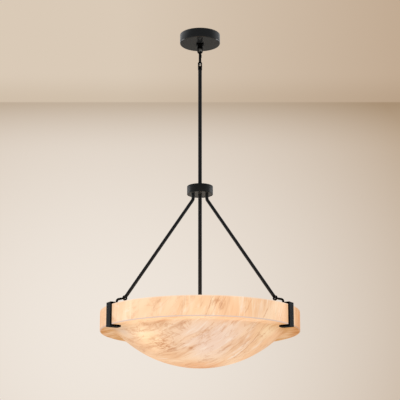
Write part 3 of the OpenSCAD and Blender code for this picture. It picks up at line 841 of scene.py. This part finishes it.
# %% Emission, colour and gloss
OWN_COLOUR = (0.20, 0.20, 0.20, 1)
lit = stone.add("ShaderNodeVectorMath", operation="SCALE")
stone.link(stone.colour, lit.inputs[0])
stone.link(glow, lit.inputs["Scale"])
stone.set("Emission Color", lit.outputs["Vector"])
stone.set("Emission Strength", 0.90)
stone.set("Base Color", stone.mix(1.0, stone.colour, OWN_COLOUR, "MULTIPLY"))
uneven = stone.plus(speckle, stone.times(drift, 0.5))
stone.set("Roughness", stone.fade(uneven, 0.5, 1.0, 0.38, 0.52, soft=False))
stone.bump(stone.plus(speckle, stone.times(thread, 0.6)), 8e-5)
bowl.data.materials.append(stone.material)
print("alabaster nodes:", len(stone.tree.nodes))

# %% [markdown]
# ## Bulb glass
# Three frosted globe bulbs lie flat inside the bowl, 120 degrees apart. The frosting scatters the light,
# so the glass itself glows, in slow swirls from warm to pale. The globe is a ball that a slightly hollow
# cone joins to the neck, spun about its own axis and then laid down so that it points out from the lamp
# hub.

# %% Bulb profile
LAMP_Z = -0.944
BULB_START = 0.038
CAP_LENGTH = 0.026
BULB_LENGTH = 0.108
BALL_R = 0.030
NECK_R = 0.014
NECK_END = CAP_LENGTH + 0.002
SHOULDER_SAG = 0.0009
ball_x = BULB_LENGTH - BALL_R


def glass_profile():
    cone = math.asin((BALL_R - NECK_R) / math.hypot(ball_x - NECK_END, BALL_R - NECK_R))
    ball = arc_points((0, ball_x), BALL_R, -(math.degrees(cone) + 12), 90, 40)
    start, goal = (NECK_R, NECK_END), ball[0]
    points = [(NECK_R - 0.0015, CAP_LENGTH), (NECK_R - 0.0005, CAP_LENGTH + 0.0012), start]
    for i in range(1, 10):
        t = i / 10
        radius = start[0] + (goal[0] - start[0]) * t - SHOULDER_SAG * math.sin(math.pi * t)
        points.append((radius, start[1] + (goal[1] - start[1]) * t))
    return points + [(max(r, 0.0), x) for r, x in ball]


print("bulb profile:", len(glass_profile()), "points")

# %% Frosted glass
def lit_glass():
    finish = Finish("frosted_glass", Specular_IOR_Level=0.5, Roughness=0.3, Emission_Strength=0.75)
    frosting = finish.noise(420.0, 3.0, 0.6)
    swirl = finish.fade(finish.noise(30.0, 2.0), 0.3, 0.7)
    finish.set("Base Color", finish.mix(frosting, srgb(236, 226, 206), srgb(250, 244, 232)))
    finish.set("Emission Color", finish.mix(swirl, srgb(255, 236, 200), srgb(255, 244, 222)))
    finish.bump(frosting, 5e-5)
    return finish.material


glass = lit_glass()
print("finish:", glass.name)

# %% Globes
def lay_on_axis(piece, turn):
    """Lays a piece that was spun about Z so that its axis points out from the lamp hub."""
    angle = math.radians(turn)
    for vertex in piece.data.vertices:
        drop, sideways, length = vertex.co
        out = BULB_START + length
        x = out * math.cos(angle) - sideways * math.sin(angle)
        y = out * math.sin(angle) + sideways * math.cos(angle)
        vertex.co = (x, y, LAMP_Z - drop)


for side, turn in LAMPS.items():
    globe = spin("globe_" + side, glass_profile(), 64)
    lay_on_axis(globe, turn)
    globe.data.materials.append(glass)
    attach(globe, "bulb_" + side)
    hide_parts("bulb_" + side)
print("three globes of", len(globe.data.polygons), "faces")

# %% [markdown]
# ## Bulb caps
# The metal cap has a rolled screw thread: one groove that climbs round the cap, which a spun profile
# can't show, so each point's radius follows the angle as well. The groove starts and ends softly, within
# two millimetres.

# %% Bulb caps with a climbing thread
CAP_R = 0.0132
PITCH = 0.0036
THREAD = 0.0008
THREAD_START = 0.0046
THREAD_END = CAP_LENGTH - 0.0026
RUN_IN = 0.002


def cap_profile():
    contact = [(0.0, 0.0), (0.0030, 0.0001), (0.0047, 0.0004), (0.0050, 0.0011)]
    insulator = [(0.0064, 0.0017), (CAP_R - 0.0024, 0.0040)]
    rows = 66
    climb = THREAD_END - THREAD_START
    thread_rows = [(CAP_R, THREAD_START + climb * i / rows) for i in range(rows + 1)]
    skirt = [(CAP_R - THREAD, CAP_LENGTH - 0.0016), (CAP_R - THREAD, CAP_LENGTH), (0.0, CAP_LENGTH)]
    return contact + insulator + thread_rows + skirt


def threaded(radius, height, turn):
    if radius < CAP_R - 1e-6:
        return radius, height
    phase = height / PITCH - turn / (2 * math.pi)
    depth = max(0.0, min(1.0, (height - THREAD_START) / RUN_IN, (THREAD_END - height) / RUN_IN))
    return CAP_R - THREAD + THREAD * depth * (0.5 - 0.5 * math.cos(2 * math.pi * phase)), height


for side, turn in LAMPS.items():
    cap = spin("screw_cap_" + side, cap_profile(), 72, threaded)
    lay_on_axis(cap, turn)
    cap.data.materials.append(cap_metal)
    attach(cap, "bulb_" + side)
    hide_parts("bulb_cap_" + side)
print("three caps with", round((THREAD_END - THREAD_START) / PITCH, 1), "turns of thread")

# %% [markdown]
# ## Floor
# A wide, pale, round floor lies 2.45 m below the ceiling and keeps the lamp's soft shadow. It looks
# lighter to the camera than the weak studio light makes it, which adds no light to the object. Seen from
# below it is clear, so that it never hides the lamp.

# %% Floor
FLOOR_Z = -2.45
FLOOR_R = 40.0
floor_mesh = bmesh.new()
bmesh.ops.create_circle(floor_mesh, cap_ends=True, segments=96, radius=FLOOR_R)
floor_data = bpy.data.meshes.new("floor")
floor_mesh.to_mesh(floor_data)
floor_mesh.free()
floor = bpy.data.objects.new("floor", floor_data)
floor.location = (0, 0, FLOOR_Z)
bpy.context.scene.collection.objects.link(floor)
print("floor at", FLOOR_Z, "out to", FLOOR_R)

# %% Floor finish
plaster = Finish("pale_floor", Roughness=0.9, Specular_IOR_Level=0.2)
pale = plaster.mix(plaster.noise(1.5, 3.0), srgb(226, 216, 203), srgb(233, 225, 214))
to_camera = plaster.add("ShaderNodeLightPath").outputs["Is Camera Ray"]
plaster.set("Base Color", pale)
plaster.set("Emission Color", pale)
plaster.set("Emission Strength", plaster.times(to_camera, 0.52))
from_above_only = plaster.add("ShaderNodeMixShader")
plaster.link(plaster.add("ShaderNodeNewGeometry").outputs["Backfacing"], from_above_only.inputs[0])
plaster.link(plaster.shader.outputs[0], from_above_only.inputs[1])
plaster.link(plaster.add("ShaderNodeBsdfTransparent").outputs[0], from_above_only.inputs[2])
plaster.link(from_above_only.outputs[0], plaster.tree.nodes["Material Output"].inputs["Surface"])
floor.data.materials.append(plaster.material)
print("floor finish:", plaster.material.name)

# %% [markdown]
# ## Room
# A solid ceiling would hide the canopy from above, so the room is painted in the world instead: a tan
# ceiling over a cream wall with a straight corner between them, lighter on the left. A world's
# coordinates are the direction of view, so the corner is a fixed ratio of rise to run. Away from the wall
# in front of the camera, the room is plain and pale.

# %% Wall, ceiling and the corner between them
CORNER = math.tan(math.radians(19.4))
world = bpy.data.worlds.new("room")
bpy.context.scene.world = world
world.use_nodes = True
room = Graph(world.node_tree, "Generated")
way_x, way_y, way_z = (room.along(axis) for axis in ((1, 0, 0), (0, 1, 0), (0, 0, 1)))
run = room.math("MAXIMUM", room.math("ABSOLUTE", way_x), room.math("ABSOLUTE", way_y))
above_corner = room.minus(way_z, room.times(run, CORNER))
is_ceiling = room.fade(above_corner, -0.0006, 0.0006)
off_side = room.math("DIVIDE", room.plus(way_x, 0.075), 0.33)
off_height = room.math("DIVIDE", room.minus(way_z, 0.15), 0.30)
off_bright = room.plus(room.times(off_side, off_side), room.times(off_height, off_height))
wall = room.mix(room.fade(off_bright, 0.0, 0.8, soft=False), srgb(239, 230, 220), srgb(189, 167, 143))
ceiling = room.mix(room.fade(way_x, -0.06, 0.16, soft=False), srgb(218, 202, 183), srgb(194, 171, 147))
print("wall and ceiling:", len(room.tree.nodes), "nodes")

# %% Plain room elsewhere and shade at the corner
CORNER_SHADE = (0.78, 0.73, 0.66, 1)
ahead = room.times(room.fade(way_y, 0.76, 0.89), room.fade(way_z, 0.030, 0.094))
in_front = room.times(ahead, room.fade(room.math("ABSOLUTE", way_x), 0.165, 0.30, 1.0, 0.0))
wall = room.mix(in_front, srgb(232, 222, 209), wall)
ceiling = room.mix(in_front, srgb(222, 208, 190), ceiling)
wall_shade = room.math("POWER", room.fade(above_corner, -0.046, -0.002, soft=False), 2.0)
ceiling_shade = room.fade(above_corner, 0.026, 0.0, 0.0, 0.42)
shade = room.mix(is_ceiling, wall_shade, ceiling_shade)
shown = room.mix(shade, room.mix(is_ceiling, wall, ceiling), CORNER_SHADE, "MULTIPLY")
print("with corner and shade:", len(room.tree.nodes), "nodes")

# %% [markdown]
# ## What each ray sees
# The camera sees the painted room. Mirror rays see a plain grey one, dim towards the photographer, where
# a real room is unlit, and lighter behind the lamp. So the black metal keeps dark near faces and crisp
# outlines. Everything else is lit by a weak, neutral light that is dim on the same side.

# %% Rays
def background(colour, strength):
    light = room.add("ShaderNodeBackground")
    room.link(colour, light.inputs["Color"])
    room.link(strength, light.inputs["Strength"])
    return light.outputs[0]


def choose(mask, first, second):
    node = room.add("ShaderNodeMixShader")
    for source, target in zip((mask, first, second), node.inputs):
        room.link(source, target)
    return node.outputs[0]


path = room.add("ShaderNodeLightPath")
straight = room.math("MAXIMUM", path.outputs["Is Camera Ray"], path.outputs["Is Transmission Ray"])
seen_light = background(shown, 1.0)
mirror_light = background((0.60, 0.61, 0.62, 1), room.fade(way_y, -0.45, 0.35, 0.26, 0.85))
plain_light = background((0.93, 0.93, 0.93, 1), room.fade(way_y, -0.7, 0.4, 0.14, 0.42))
unseen_light = choose(path.outputs["Is Glossy Ray"], plain_light, mirror_light)
whole_light = choose(straight, unseen_light, seen_light)
room.link(whole_light, room.tree.nodes["World Output"].inputs["Surface"])
print("room nodes:", len(room.tree.nodes))

# %% [markdown]
# ## Studio light
# Two large soft lamps light the object at a plain level. They stand well out to the left and the right,
# so the brackets' outer faces and the rods' sides catch them, and the faces towards the camera stay dark.

# %% Lamps
STUDIO_SIDE = 3.0
STUDIO_BACK = 1.2
STUDIO_HEIGHT = -0.4
STUDIO_SIZE = 1.8
AIM = Vector((0, 0, -0.8))
NEARLY_WHITE = (1.0, 0.99, 0.98)


def soft_lamp(name, sideways, power):
    data = bpy.data.lights.new(name, "AREA")
    data.shape = "DISK"
    data.size = STUDIO_SIZE
    data.energy = power
    data.color = NEARLY_WHITE
    lamp = bpy.data.objects.new(name, data)
    lamp.location = (sideways, STUDIO_BACK, STUDIO_HEIGHT)
    lamp.rotation_euler = (AIM - Vector(lamp.location)).to_track_quat("-Z", "Y").to_euler()
    bpy.context.scene.collection.objects.link(lamp)


soft_lamp("key", -STUDIO_SIDE, 34)
soft_lamp("fill", STUDIO_SIDE, 31)
bpy.context.scene.view_settings.view_transform = "Standard"
print("two soft lamps, view", bpy.context.scene.view_settings.view_transform)

# %% [markdown]
